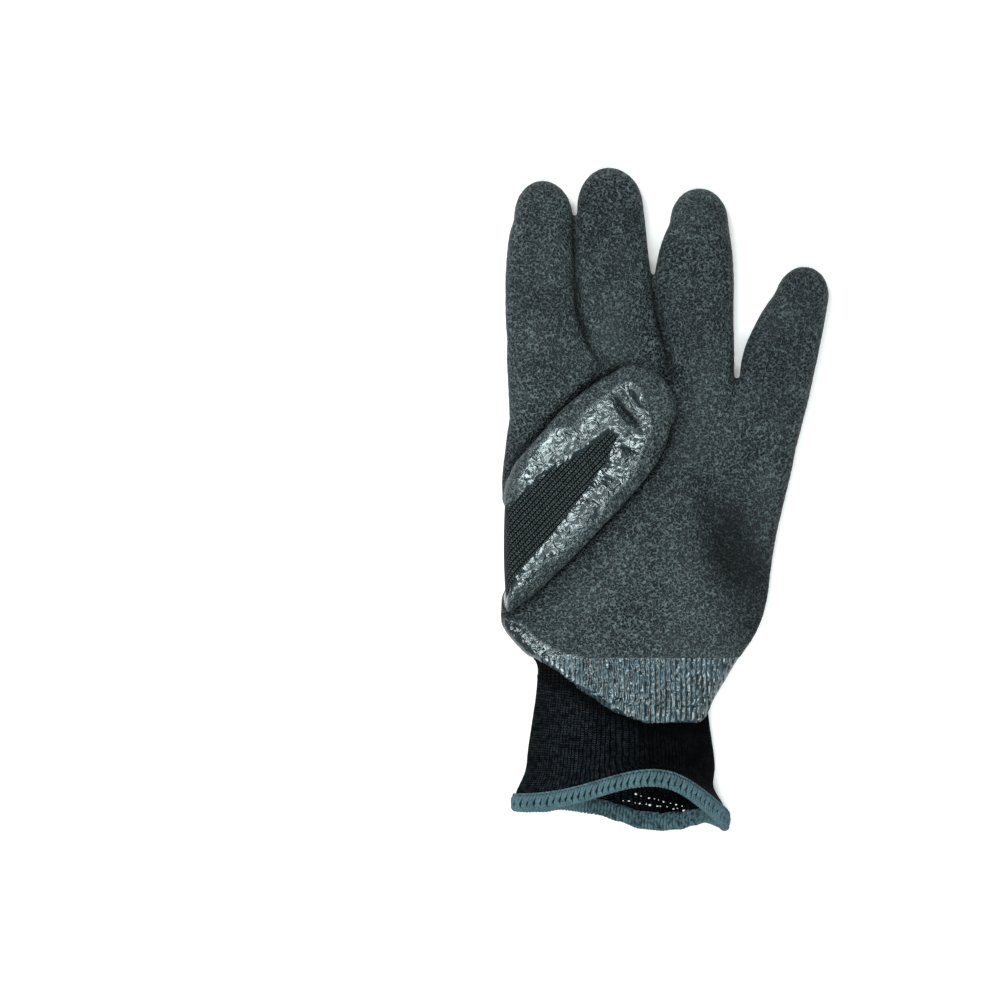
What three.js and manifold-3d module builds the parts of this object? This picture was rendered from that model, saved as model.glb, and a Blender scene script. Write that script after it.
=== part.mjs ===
// A knitted work glove dipped in latex, for the left hand. It lies palm up on its knitted back,
// with the thumb folded over the palm and the mouth of the cuff a little open.
// Millimetres. +Z is up, +Y runs from the cuff to the fingertips and +X towards the little finger.
// The origin is on the floor, under the middle of the glove.
//
// The knitted liner is made as such a glove is knitted: a tube for each finger, the palm that they
// are joined to, the thumb and the elastic cuff. latex_coat is the dipped skin over the palm, the
// fingertips and round the thumb, and hem_overlock the sewn edge.
// The tables below describe the outer face of the latex. Each layer under it is the same form,
// drawn in by what lies over it.
import * as THREE from 'three';
import { mergeVertices } from 'three/addons/utils/BufferGeometryUtils.js';
import Module from 'manifold-3d';

const wasm = await Module();
wasm.setup();

// Layers
const latexWall = 0.9;
const knitWall = 1.4;
const layerGap = 0.3; // between latex and knit, and between any two pieces

// Hand
const palmWidth = 100; // flat, at the thumb
const palmLength = 120; // wrist seam to the forks between the fingers
const palmThickness = 13.7; // as it lies, with the air that the stiff latex keeps in it
const palmCap = 4.4; // round end of the palm between the fingers

// Cuff
const cuffLength = 49; // wrist seam to the rim
const cuffWidth = 70;
const cuffThickness = 10.5;
const mouthArch = 17; // how far the upper lip of the mouth stands up
const mouthRetreat = 16.5; // and how far it is drawn back
const mouthPeak = 0.36; // place of the highest point across the mouth, -1 left to 1 right
const archLeft = 0.82; // how far the arch spreads to each side, as shares of half the mouth
const archRight = 0.7;

// Sewn hem, a channel that wraps the rim
const hemWall = 1.0;
const hemDepth = 4.2; // over the cuff
const hemNose = 2.2; // beyond the rim

// Thumb
const thumbLength = 85; // fold at the hand's edge to the tip
const thumbWidth = 39;
const thumbThickness = 13;
const thumbClearance = 1.0; // between the thumb's latex and the palm's
const thumbAngle = 43; // from the +Y axis towards the little finger
const foldRound = 3; // round of the fold at the hand's edge
const thumbCap = 10; // round of the tip

// Fingers
const fingerStand = 0.9; // their knit clears the floor by this where they leave the palm
const fingerSizes = {
  index: { length: 92.6, width: 26.6, thick: 13.8, cap: 14, lift: 1.2 },
  middle: { length: 97.2, width: 26.6, thick: 13.8, cap: 14.8, lift: 1.2 },
  ring: { length: 89.2, width: 28, thick: 13.8, cap: 12.4, lift: 1.2 },
  little: { length: 71, width: 27.4, thick: 12.6, cap: 12.6, lift: 2 },
};

// Where each finger's axis starts, in shares of palmWidth from the hand's midline and of
// palmLength from the wrist, and its lean in degrees towards the little finger.
const fingerRoots = {
  index: { across: -0.285, along: 0.831, lean: -2.5 },
  middle: { across: -0.026, along: 0.831, lean: -4.1 },
  ring: { across: 0.248, along: 0.831, lean: -0.5 },
  little: { across: 0.444, along: 0.769, lean: 16.4 },
};
const rootThin = 0.86; // a finger's thickness at its root inside the palm, of its free thickness
const rootEnd = 0.33; // share of its length where it has its free thickness

// Sections of each finger: share of its length, width and sideways drift as shares of its width.
const fingerRows = {
  index: [
    { along: 0, wide: 1.39, drift: 0 },
    { along: 0.25, wide: 1.34, drift: -0.03 },
    { along: 0.36, wide: 1.16, drift: -0.11 },
    { along: 0.48, wide: 1.04, drift: -0.17 },
    { along: 0.6, wide: 1, drift: -0.17 },
    { along: 0.76, wide: 0.93, drift: -0.14 },
    { along: 0.85, wide: 0.82, drift: -0.1 },
  ],
  middle: [
    { along: 0, wide: 1.08, drift: 0.08 },
    { along: 0.27, wide: 0.96, drift: 0.14 },
    { along: 0.36, wide: 1.08, drift: 0.03 },
    { along: 0.44, wide: 1.12, drift: -0.045 },
    { along: 0.55, wide: 1.05, drift: -0.07 },
    { along: 0.76, wide: 0.97, drift: -0.06 },
    { along: 0.85, wide: 0.92, drift: -0.05 },
  ],
  ring: [
    { along: 0, wide: 0.87, drift: 0 },
    { along: 0.27, wide: 0.85, drift: -0.01 },
    { along: 0.4, wide: 0.9, drift: -0.04 },
    { along: 0.54, wide: 1.01, drift: -0.09 },
    { along: 0.62, wide: 1.05, drift: -0.11 },
    { along: 0.71, wide: 1, drift: -0.1 },
    { along: 0.79, wide: 0.91, drift: -0.08 },
    { along: 0.865, wide: 0.77, drift: -0.04 },
  ],
  little: [
    { along: 0, wide: 1.03, drift: 0 },
    { along: 0.29, wide: 1, drift: -0.01 },
    { along: 0.47, wide: 1, drift: -0.05 },
    { along: 0.59, wide: 0.95, drift: -0.05 },
    { along: 0.71, wide: 0.87, drift: -0.035 },
    { along: 0.82, wide: 0.74, drift: 0 },
  ],
};

// Both silhouettes of the hand, from the wrist to the finger roots: across in shares of palmWidth
// from the midline, along in shares of palmLength from the wrist, high in shares of palmThickness.
const handRows = [
  { leftAcross: -0.381, leftAlong: 0.062, rightAcross: 0.278, rightAlong: -0.025, high: 1.03 },
  { leftAcross: -0.385, leftAlong: 0.117, rightAcross: 0.326, rightAlong: 0.05, high: 1.04 },
  { leftAcross: -0.448, leftAlong: 0.172, rightAcross: 0.385, rightAlong: 0.132, high: 1.02 },
  { leftAcross: -0.5, leftAlong: 0.234, rightAcross: 0.444, rightAlong: 0.209, high: 1 },
  { leftAcross: -0.5, leftAlong: 0.314, rightAcross: 0.481, rightAlong: 0.302, high: 1 },
  { leftAcross: -0.5, leftAlong: 0.431, rightAcross: 0.504, rightAlong: 0.425, high: 1 },
  { leftAcross: -0.5, leftAlong: 0.554, rightAcross: 0.53, rightAlong: 0.548, high: 1 },
  { leftAcross: -0.5, leftAlong: 0.677, rightAcross: 0.563, rightAlong: 0.662, high: 1 },
  { leftAcross: -0.489, leftAlong: 0.769, rightAcross: 0.585, rightAlong: 0.745, high: 1.02 },
  { leftAcross: -0.474, leftAlong: 0.862, rightAcross: 0.6, rightAlong: 0.831, high: 1 },
  { leftAcross: -0.448, leftAlong: 0.985, rightAcross: 0.593, rightAlong: 0.905, high: 0.9 },
];

// The cuff's silhouettes from the wrist to the mouth: across in shares of cuffWidth, along in
// shares of cuffLength, negative towards the mouth, high in shares of cuffThickness. Arch and
// back are the upper face's shares of mouthArch and mouthRetreat.
const cuffRows = [
  {
    leftAcross: -0.555, leftAlong: 0, rightAcross: 0.402, rightAlong: -0.166,
    high: 1.08, arch: 0.04, back: 0,
  },
  {
    leftAcross: -0.592, leftAlong: -0.359, rightAcross: 0.433, rightAlong: -0.489,
    high: 0.95, arch: 0.42, back: 0.2,
  },
  {
    leftAcross: -0.608, leftAlong: -0.54, rightAcross: 0.428, rightAlong: -0.69,
    high: 0.9, arch: 0.8, back: 0.56,
  },
];
const rim = {
  leftAcross: -0.665, leftAlong: -0.8, rightAcross: 0.49, rightAlong: -0.967,
  high: 0.85, arch: 1, back: 1,
};

// Both silhouettes of the thumb, from the fold to the tip: along in shares of thumbLength, on the
// line at thumbAngle from the middle of the fold, side in shares of thumbWidth to the right of
// that line, and how far the section still reaches down into the hand, from 1 at the fold to 0
// where the thumb lies free.
const thumbRows = [
  { leftAlong: 0.247, leftSide: -0.411, rightAlong: -0.183, rightSide: 0.463, rooted: 1 },
  { leftAlong: 0.281, leftSide: -0.442, rightAlong: -0.045, rightSide: 0.52, rooted: 0.7 },
  { leftAlong: 0.321, leftSide: -0.459, rightAlong: 0.148, rightSide: 0.541, rooted: 0.3 },
  { leftAlong: 0.414, leftSide: -0.464, rightAlong: 0.373, rightSide: 0.551, rooted: 0 },
  { leftAlong: 0.574, leftSide: -0.48, rightAlong: 0.546, rightSide: 0.551, rooted: 0 },
  { leftAlong: 0.71, leftSide: -0.456, rightAlong: 0.691, rightSide: 0.53, rooted: 0 },
  { leftAlong: 0.81, leftSide: -0.414, rightAlong: 0.802, rightSide: 0.471, rooted: 0 },
  { leftAlong: 0.896, leftSide: -0.355, rightAlong: 0.89, rightSide: 0.371, rooted: 0 },
];
const foldAlong = 0.468; // middle of the fold, in shares of palmLength from the wrist

// The row of each limb's table where its knitted tube is joined to the palm.
const seamRows = { index: 1, middle: 1, ring: 1, little: 1, thumb: 3 };

// Hollows pressed in the palm: place in shares of palmWidth and palmLength, reach and depth in
// shares of palmThickness.
const palmDents = [
  { across: 0.4, along: 0.36, reach: 1.5, depth: 0.12 },
  { across: -0.16, along: 0.5, reach: 2.6, depth: 0.07 },
];

// Edge of the latex at the wrist, left to right, in shares of palmWidth and palmLength.
const coatEdge = [
  { across: -0.62, along: 0.12 },
  { across: -0.385, along: 0.117 },
  { across: -0.3, along: 0.083 },
  { across: -0.196, along: 0.022 },
  { across: -0.09, along: -0.037 },
  { across: 0.03, along: -0.07 },
  { across: 0.24, along: -0.074 },
  { across: 0.29, along: -0.04 },
  { across: 0.62, along: 0.03 },
];

// Bare knit on the thumb's back, a wedge that narrows towards the tip: along in shares of
// thumbLength, both edges in shares of thumbWidth to the right of the line at thumbAngle.
const thumbWindow = [
  { along: -0.25, left: -0.3, right: 0.36 },
  { along: -0.03, left: -0.28, right: 0.273 },
  { along: 0.13, left: -0.245, right: 0.258 },
  { along: 0.29, left: -0.2, right: 0.237 },
  { along: 0.37, left: -0.18, right: 0.215 },
  { along: 0.49, left: -0.09, right: 0.185 },
  { along: 0.6, left: -0.045, right: 0.14 },
  { along: 0.69, left: 0, right: 0.08 },
];
const pastCoat = -0.5; // along, clear of the latex
const windowShare = 0.82; // bare width of the hand's and the fingers' backs
const windowReach = 0.68; // how far the bare knit runs up each finger's back, of its length
const windowTaper = 0.5; // its width there, of its width at the root
const bareHeight = 0.4; // how high the bare back reaches round the sides, of palmThickness
const foldOpening = 0.13; // the fold is bare this far each way, of palmLength
const foldEdge = 0.49; // from this share of palmWidth outwards

// Meshing
const squareness = 2.35; // 2 is an ellipse, more is a flatter section
const pressed = 2; // sections that lie on the floor start this far below it, and are cut flat
const sleeveSides = 28;
const fingerSides = 12;
const thumbSides = 14;
const domeRows = 3;

const linerInset = latexWall + layerGap; // latex face to the knit's outer face
const cavityInset = linerInset + knitWall; // and to the free space inside
const radians = THREE.MathUtils.degToRad;
const mix = THREE.MathUtils.lerp;

const powered = (value) => Math.sign(value) * Math.abs(value) ** (2 / squareness);

// A layer's lowest height: the knit's back lies on the floor, and thinner forms stay above it.
const floorOf = (grow) => -linerInset - grow;

// A section between two silhouette points, with its low and high faces.
function sectionOf(left, right, low, high) {
  const across = right.clone().sub(left);
  const half = across.length() / 2;
  across.normalize();
  return {
    centre: left.clone().add(right).multiplyScalar(0.5),
    across,
    ahead: new THREE.Vector2(-across.y, across.x),
    half,
    low,
    high,
  };
}

// The ring of points round a section. The upper half may lean back and arch, as at the mouth.
function ringOf(section, sides, grow, topOf) {
  const middle = (section.low + section.high) / 2;
  const tall = (section.high - section.low) / 2 + grow;
  const ring = [];
  for (let k = 0; k < sides; k += 1) {
    const angle = (2 * Math.PI * k) / sides;
    const across = powered(Math.cos(angle));
    const up = powered(Math.sin(angle));
    const reach = (section.half + grow) * across;
    const spread = across < mouthPeak ? archLeft : archRight;
    const bump = Math.max(up, 0) * Math.exp(-(((across - mouthPeak) / spread) ** 2));
    const back = bump * (section.back ?? 0) * mouthRetreat;
    const x = section.centre.x + section.across.x * reach + section.ahead.x * back;
    const y = section.centre.y + section.across.y * reach + section.ahead.y * back;
    let z = middle + tall * up + bump * (section.arch ?? 0) * mouthArch;
    if (topOf && up > 0) z -= up * topOf(x, y);
    ring.push(new THREE.Vector3(x, y, Math.max(z, floorOf(grow))));
  }
  return ring;
}

// The sections of a round end, from the last section out to the pole.
function domeOf(section, cap, grow, way) {
  const rings = [];
  for (let row = 1; row < domeRows; row += 1) {
    const angle = (Math.PI / 2) * (row / domeRows);
    const shrink = Math.cos(angle);
    const middle = (section.low + section.high) / 2;
    const tall = ((section.high - section.low) / 2 + grow) * shrink;
    rings.push({
      ...section,
      centre: section.centre.clone().addScaledVector(section.ahead, way * (cap + grow) * Math.sin(angle)),
      half: (section.half + grow) * shrink - grow,
      low: middle - tall + grow,
      high: middle + tall - grow,
    });
  }
  return rings;
}

// A closed tube through sections, with a flat or round end at each side.
function tube(sections, { sides, grow, startCap = 0, endCap = 0, topOf }) {
  const first = sections[0];
  const last = sections.at(-1);
  const all = [
    ...(startCap ? domeOf(first, startCap, grow, -1).reverse() : []),
    ...sections,
    ...(endCap ? domeOf(last, endCap, grow, 1) : []),
  ];
  const rings = all.map((section) => ringOf(section, sides, grow, topOf));
  const poleOf = (section, cap, way, ring) => {
    const middle = ring.reduce((sum, point) => sum.add(point), new THREE.Vector3()).divideScalar(sides);
    if (!cap) return middle;
    const spot = section.centre.clone().addScaledVector(section.ahead, way * (cap + grow));
    return new THREE.Vector3(spot.x, spot.y, middle.z);
  };
  return closedBody(rings, poleOf(first, startCap, -1, rings[0]), poleOf(last, endCap, 1, rings.at(-1)));
}

// Rings joined by faces, closed by a fan at each end. With no poles the rings join in a loop.
function closedBody(rings, startPole, endPole) {
  const sides = rings[0].length;
  const points = rings.flat();
  const faces = [];
  const bands = startPole ? rings.length - 1 : rings.length;
  for (let row = 0; row < bands; row += 1) {
    for (let k = 0; k < sides; k += 1) {
      const next = (k + 1) % sides;
      const near = row * sides;
      const far = ((row + 1) % rings.length) * sides;
      faces.push(near + k, far + k, far + next, near + k, far + next, near + next);
    }
  }
  if (startPole) {
    const start = points.push(startPole) - 1;
    const end = points.push(endPole) - 1;
    const lastRow = (rings.length - 1) * sides;
    for (let k = 0; k < sides; k += 1) {
      const next = (k + 1) % sides;
      faces.push(start, k, next, end, lastRow + next, lastRow + k);
    }
  }
  const geometry = new THREE.BufferGeometry().setFromPoints(points);
  geometry.setIndex(faces);
  return solidOf(geometry);
}

function solidOf(geometry) {
  const bare = geometry.clone();
  bare.deleteAttribute('normal');
  bare.deleteAttribute('uv');
  const merged = mergeVertices(bare, 1e-5);
  return new wasm.Manifold(new wasm.Mesh({
    numProp: 3,
    vertProperties: new Float32Array(merged.attributes.position.array),
    triVerts: new Uint32Array(merged.index.array),
  }));
}

// A prism on an outline seen from above.
function prism(outline, low, high) {
  const shape = new THREE.Shape(outline);
  const geometry = new THREE.ExtrudeGeometry(shape, { depth: high - low, bevelEnabled: false });
  geometry.translate(0, 0, low);
  return solidOf(geometry);
}

const handPoint = (across, along) => new THREE.Vector2(across * palmWidth, along * palmLength);
const cuffPoint = (across, along) => new THREE.Vector2(across * cuffWidth, along * cuffLength);

function palmHollow(x, y) {
  return palmDents.reduce((sum, dent) => {
    const spot = handPoint(dent.across, dent.along);
    const far = Math.hypot(x - spot.x, y - spot.y) / (dent.reach * palmThickness);
    return sum + dent.depth * palmThickness * Math.exp(-far * far);
  }, 0);
}

function handSections() {
  return handRows.map((row) => sectionOf(
    handPoint(row.leftAcross, row.leftAlong),
    handPoint(row.rightAcross, row.rightAlong),
    -pressed,
    row.high * palmThickness - linerInset,
  ));
}

function cuffSection(row) {
  const section = sectionOf(
    cuffPoint(row.leftAcross, row.leftAlong),
    cuffPoint(row.rightAcross, row.rightAlong),
    -pressed,
    row.high * cuffThickness - linerInset,
  );
  return { ...section, arch: row.arch, back: row.back };
}

// The rim stands clear of the floor by the hem's wall, and so does the stretch inside the hem.
function mouthSections() {
  const mouth = cuffSection(rim);
  mouth.low = hemWall + layerGap - linerInset;
  mouth.high = mouth.low + rim.high * cuffThickness;
  const seat = {
    ...mouth,
    centre: mouth.centre.clone().addScaledVector(mouth.ahead, hemDepth + layerGap),
  };
  return [mouth, seat];
}

function fingerSections(name) {
  const size = fingerSizes[name];
  const start = fingerRoots[name];
  const lean = radians(start.lean);
  const ahead = new THREE.Vector2(Math.sin(lean), Math.cos(lean));
  const aside = new THREE.Vector2(ahead.y, -ahead.x);
  const root = handPoint(start.across, start.along);
  return fingerRows[name].map((row) => {
    const centre = root.clone().addScaledVector(ahead, row.along * size.length)
      .addScaledVector(aside, row.drift * size.width);
    const half = (row.wide * size.width) / 2;
    const low = fingerStand - linerInset + size.lift * row.along * row.along;
    const tall = size.thick * mix(rootThin, 1, Math.min(1, row.along / rootEnd));
    return sectionOf(
      centre.clone().addScaledVector(aside, -half),
      centre.clone().addScaledVector(aside, half),
      low,
      low + tall,
    );
  });
}

// The line that the thumb lies along, from the middle of the fold.
const foldMiddle = handPoint(-0.5, foldAlong);
const thumbAhead = new THREE.Vector2(Math.sin(radians(thumbAngle)), Math.cos(radians(thumbAngle)));
const thumbAside = new THREE.Vector2(thumbAhead.y, -thumbAhead.x);
const thumbUnder = palmThickness - linerInset + thumbClearance;
const thumbTop = thumbUnder + thumbThickness;

const thumbPoint = (along, side) => foldMiddle.clone()
  .addScaledVector(thumbAhead, along * thumbLength)
  .addScaledVector(thumbAside, side * thumbWidth);

function thumbSections() {
  return thumbRows.map((row) => sectionOf(
    thumbPoint(row.leftAlong, row.leftSide),
    thumbPoint(row.rightAlong, row.rightSide),
    mix(thumbUnder, fingerStand, row.rooted),
    thumbTop,
  ));
}

// The four fingers and the thumb, each with its sections and its round ends.
function limbs() {
  const fingers = Object.keys(fingerSizes).map((name) => ({
    name,
    sections: fingerSections(name),
    ends: { sides: fingerSides, endCap: fingerSizes[name].cap },
  }));
  const thumb = {
    name: 'thumb',
    sections: thumbSections(),
    ends: { sides: thumbSides, startCap: foldRound, endCap: thumbCap },
  };
  return [...fingers, thumb];
}

// The whole hand as one solid form, its faces moved out by grow. The sleeve starts at a given
// section of the cuff, counted from the wrist, so that a hollow can run out of the wrist.
function handForm(grow, cuffSections) {
  const sleeve = [...cuffRows.slice(0, cuffSections).map(cuffSection).reverse(), ...handSections()];
  const palm = tube(sleeve, { sides: sleeveSides, grow, endCap: palmCap, topOf: palmHollow });
  return limbs().reduce((form, limb) => form.add(tube(limb.sections, { ...limb.ends, grow })), palm);
}

// A limb from its seam to its tip, with a flat end that starts a little before the seam.
function beyondSeam(limb, grow, before) {
  const [seam, ...rest] = limb.sections.slice(seamRows[limb.name]);
  const start = { ...seam, centre: seam.centre.clone().addScaledVector(seam.ahead, -before) };
  return tube([start, ...rest], { ...limb.ends, startCap: 0, grow });
}

// Where the knit shows: the back of the hand and of each finger, the fold and the thumb's back.
function bareOutlines() {
  const shareOf = (section, share) => [
    section.centre.clone().addScaledVector(section.across, -section.half * share),
    section.centre.clone().addScaledVector(section.across, section.half * share),
  ];
  const outlineOf = (pairs) => [
    ...pairs.map(([, right]) => right),
    ...pairs.map(([left]) => left).reverse(),
  ];
  const palm = handSections();
  const forks = palm.at(-1);
  const beyond = { ...forks, centre: forks.centre.clone().addScaledVector(forks.ahead, 2 * palmCap) };
  const hand = [...cuffRows.map(cuffSection).reverse(), ...palm, beyond];
  const fingers = Object.keys(fingerSizes).map((name) => {
    const sections = fingerSections(name);
    const rows = fingerRows[name].map((row) => row.along);
    const shown = sections.filter((section, k) => rows[k] <= windowReach);
    return outlineOf(shown.map((section, k) => shareOf(
      section,
      windowShare * mix(1, windowTaper, (rows[k] / windowReach) ** 2),
    )));
  });
  return [outlineOf(hand.map((section) => shareOf(section, windowShare))), ...fingers];
}

function bareSpace() {
  const below = -palmThickness;
  const above = thumbTop + thumbThickness;
  const inPalm = palmThickness * bareHeight;
  const inThumb = (thumbUnder + thumbTop) / 2;
  const backs = bareOutlines().map((outline) => prism(outline, below, inPalm));
  const wedge = [
    ...thumbWindow.map((row) => thumbPoint(row.along, row.right)),
    ...thumbWindow.map((row) => thumbPoint(row.along, row.left)).reverse(),
  ];
  const outside = 2 * foldEdge;
  const fold = [
    handPoint(-outside, foldAlong - foldOpening),
    handPoint(-foldEdge, foldAlong - foldOpening),
    handPoint(-foldEdge, foldAlong + foldOpening),
    handPoint(-outside, foldAlong + foldOpening),
  ];
  const wrist = [
    handPoint(coatEdge[0].across, pastCoat),
    handPoint(coatEdge.at(-1).across, pastCoat),
    ...coatEdge.map((row) => handPoint(row.across, row.along)).reverse(),
  ];
  return [...backs, prism(wedge, inThumb, above), prism(fold, below, above), prism(wrist, below, above)];
}

function latexCoat() {
  const shell = handForm(0, 2).subtract(handForm(-latexWall, 3));
  return bareSpace().reduce((coat, bare) => coat.subtract(bare), shell);
}

function knitPalm() {
  const shell = handForm(-linerInset, 0).subtract(handForm(-cavityInset, 1));
  const limbSpace = limbs().map((limb) => beyondSeam(limb, layerGap - linerInset, layerGap));
  return limbSpace.reduce((palm, space) => palm.subtract(space), shell);
}

const knitLimb = (limb) => beyondSeam(limb, -linerInset, 0)
  .subtract(beyondSeam(limb, -cavityInset, layerGap));

// The cuff's wall, from the rim to the wrist seam, as a loop of rings outside and inside.
function knitCuff() {
  const wrist = handSections()[0];
  const top = {
    ...wrist,
    centre: wrist.centre.clone().addScaledVector(wrist.ahead, -layerGap),
  };
  const sections = [...mouthSections(), ...cuffRows.map(cuffSection).reverse(), top];
  const ringsAt = (grow) => sections.map((section) => ringOf(section, sleeveSides, grow));
  return closedBody([...ringsAt(-linerInset), ...ringsAt(-cavityInset).reverse()]);
}

// The hem's channel, swept round the rim. Each profile point is a distance beyond the rim and a
// place through the hem, 0 on its inner face and 1 on its outer face.
function hemOverlock() {
  const mouth = mouthSections()[0];
  const outer = ringOf(mouth, sleeveSides, -linerInset);
  const inner = ringOf(mouth, sleeveSides, -cavityInset);
  const thick = knitWall + 2 * (layerGap + hemWall);
  const slot = hemWall / thick;
  const chamfer = 0.06;
  const nose = hemNose - hemWall;
  const profile = [
    { beyond: -hemDepth, through: 1 - slot },
    { beyond: -hemDepth, through: 1 - chamfer },
    { beyond: chamfer * thick - hemDepth, through: 1 },
    { beyond: nose, through: 1 },
    { beyond: mix(nose, hemNose, 0.7), through: 1 - 3 * chamfer },
    { beyond: hemNose, through: 0.5 },
    { beyond: mix(nose, hemNose, 0.7), through: 3 * chamfer },
    { beyond: nose, through: 0 },
    { beyond: chamfer * thick - hemDepth, through: 0 },
    { beyond: -hemDepth, through: chamfer },
    { beyond: -hemDepth, through: slot },
    { beyond: layerGap, through: slot },
    { beyond: layerGap, through: 1 - slot },
  ];
  const rings = profile.map(({ beyond, through }) => outer.map((point, k) => {
    const normal = point.clone().sub(inner[k]).normalize();
    const face = point.clone().addScaledVector(normal, layerGap + hemWall);
    const back = inner[k].clone().addScaledVector(normal, -layerGap - hemWall);
    const spot = back.lerp(face, through);
    spot.x -= mouth.ahead.x * beyond;
    spot.y -= mouth.ahead.y * beyond;
    return spot;
  }));
  return closedBody(rings.reverse());
}

function meshOf(name, solid, look) {
  const made = solid.getMesh();
  const geometry = new THREE.BufferGeometry();
  geometry.setAttribute('position', new THREE.BufferAttribute(new Float32Array(made.vertProperties), 3));
  geometry.setIndex(new THREE.BufferAttribute(new Uint32Array(made.triVerts), 1));
  const flat = geometry.toNonIndexed();
  flat.computeVertexNormals();
  const mesh = new THREE.Mesh(flat, new THREE.MeshStandardMaterial(look));
  mesh.name = name;
  return mesh;
}

const glove = new THREE.Group();
const handKnit = { color: 0x14161a, roughness: 0.95, metalness: 0 };
glove.add(
  meshOf('knit_palm', knitPalm(), handKnit),
  ...limbs().map((limb) => meshOf(`knit_${limb.name}`, knitLimb(limb), handKnit)),
  meshOf('knit_cuff', knitCuff(), { color: 0x101216, roughness: 0.95, metalness: 0 }),
  meshOf('latex_coat', latexCoat(), { color: 0x333a3d, roughness: 0.5, metalness: 0 }),
  meshOf('hem_overlock', hemOverlock(), { color: 0x3f6068, roughness: 0.85, metalness: 0 }),
);

// The origin goes on the floor under the middle of the glove.
const box = new THREE.Box3().setFromObject(glove);
const middle = box.getCenter(new THREE.Vector3());
glove.position.set(-middle.x, -middle.y, -box.min.z);

export default glove;
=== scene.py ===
import math
import bmesh
import bpy
import numpy as np
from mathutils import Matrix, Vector, noise


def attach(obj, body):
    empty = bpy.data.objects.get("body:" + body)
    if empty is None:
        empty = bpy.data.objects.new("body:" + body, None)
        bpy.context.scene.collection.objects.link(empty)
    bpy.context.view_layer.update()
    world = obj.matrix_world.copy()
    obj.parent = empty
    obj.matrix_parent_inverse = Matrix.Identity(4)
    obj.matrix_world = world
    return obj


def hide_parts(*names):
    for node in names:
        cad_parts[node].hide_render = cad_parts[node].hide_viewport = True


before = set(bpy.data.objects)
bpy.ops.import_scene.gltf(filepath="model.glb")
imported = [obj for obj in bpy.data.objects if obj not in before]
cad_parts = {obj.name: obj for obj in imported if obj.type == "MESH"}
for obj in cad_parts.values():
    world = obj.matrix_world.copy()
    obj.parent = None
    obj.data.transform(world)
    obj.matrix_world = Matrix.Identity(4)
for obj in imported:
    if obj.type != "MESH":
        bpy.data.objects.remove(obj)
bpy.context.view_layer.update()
mm = 0.001
print("frame loaded:", ", ".join(sorted(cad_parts)))

# One left-hand glove, palm up, thumb folded over the palm. Tables are in millimetres or in shares
# of the named sizes, as in the CAD part; meshes are in metres.


# small helpers

def clearSelection():
    if bpy.context.mode != "OBJECT":
        bpy.ops.object.mode_set(mode="OBJECT")
    bpy.ops.object.select_all(action="DESELECT")


def pick(*objects):
    clearSelection()
    for obj in objects:
        obj.select_set(True)
    bpy.context.view_layer.objects.active = objects[0]


def openEdit(obj, everything=True):
    pick(obj)
    bpy.ops.object.mode_set(mode="EDIT")
    bpy.ops.mesh.select_mode(type="EDGE")
    bpy.ops.mesh.select_all(action="SELECT" if everything else "DESELECT")


def closeEdit():
    bpy.ops.object.mode_set(mode="OBJECT")


def bridgeRims(obj):
    # joins the open rims of a wall's outer and inner face
    openEdit(obj, False)
    bpy.ops.mesh.select_non_manifold(extend=False, use_wire=False, use_multi_face=False,
                                     use_non_contiguous=False, use_verts=False)
    bpy.ops.mesh.bridge_edge_loops()


def mix(a, b, share):
    return a + (b - a) * share


def smoothStep(low, high, value):
    t = np.clip((value - low) / (high - low), 0, 1)
    return t * t * (3 - 2 * t)


def readVerts(obj, what="co", unit=mm):
    values = np.empty(len(obj.data.vertices) * 3)
    obj.data.vertices.foreach_get(what, values)
    return values.reshape(-1, 3) / unit


def readNormals(obj):
    return readVerts(obj, "normal", 1)


def writeVerts(obj, points):
    obj.data.vertices.foreach_set("co", (points * mm).ravel())
    obj.data.update()


def softNoise(points, size, seed=0):
    # -1 to 1, in lumps of about size millimetres
    shift = Vector((seed * 17.3 + 0.5, seed * 5.1, seed * 9.7))
    scaled = points / size
    return np.array([noise.noise(Vector(p) + shift) for p in scaled])


def applyModifier(obj, kind, **settings):
    pick(obj)
    made = obj.modifiers.new("finish", kind)
    for key, value in settings.items():
        setattr(made, key, value)
    bpy.ops.object.modifier_apply(modifier=made.name)


def smoothRows(rows, steps):
    # a smooth run of rows through those of a table
    rows = np.array(rows, float)
    ends = np.vstack([2 * rows[0] - rows[1], rows, 2 * rows[-1] - rows[-2]])
    out = []
    for k in range(1, len(ends) - 2):
        p0, p1, p2, p3 = ends[k - 1:k + 3]
        for t in np.arange(steps) / steps:
            out.append(0.5 * (2 * p1 + (p2 - p0) * t + (2 * p0 - 5 * p1 + 4 * p2 - p3) * t * t
                              + (3 * p1 - p0 - 3 * p2 + p3) * t ** 3))
    out.append(rows[-1])
    return np.array(out)


def tubeThrough(name, rings, closed=True):
    # a circle, extruded ring by ring, each new ring laid on its own place
    clearSelection()
    sides = len(rings[0])
    bpy.ops.mesh.primitive_circle_add(vertices=sides, radius=10 * mm)
    tube = bpy.context.object
    tube.name = name
    openEdit(tube)
    for row, ring in enumerate(rings):
        if row:
            bpy.ops.mesh.extrude_edges_move()
        bm = bmesh.from_edit_mesh(tube.data)
        bm.verts.ensure_lookup_table()
        for vert, spot in zip(bm.verts[row * sides:], ring):
            vert.co = Vector(spot) * mm
        bmesh.update_edit_mesh(tube.data)
    bpy.ops.mesh.select_all(action="SELECT")
    if closed:
        bpy.ops.mesh.fill_holes(sides=0)
        bpy.ops.mesh.select_all(action="SELECT")
    bpy.ops.mesh.normals_make_consistent(inside=False)
    closeEdit()
    return tube


def joinPieces(name, pieces):
    pick(*pieces)
    bpy.ops.object.join()
    bpy.context.object.name = name
    return bpy.context.object


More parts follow.
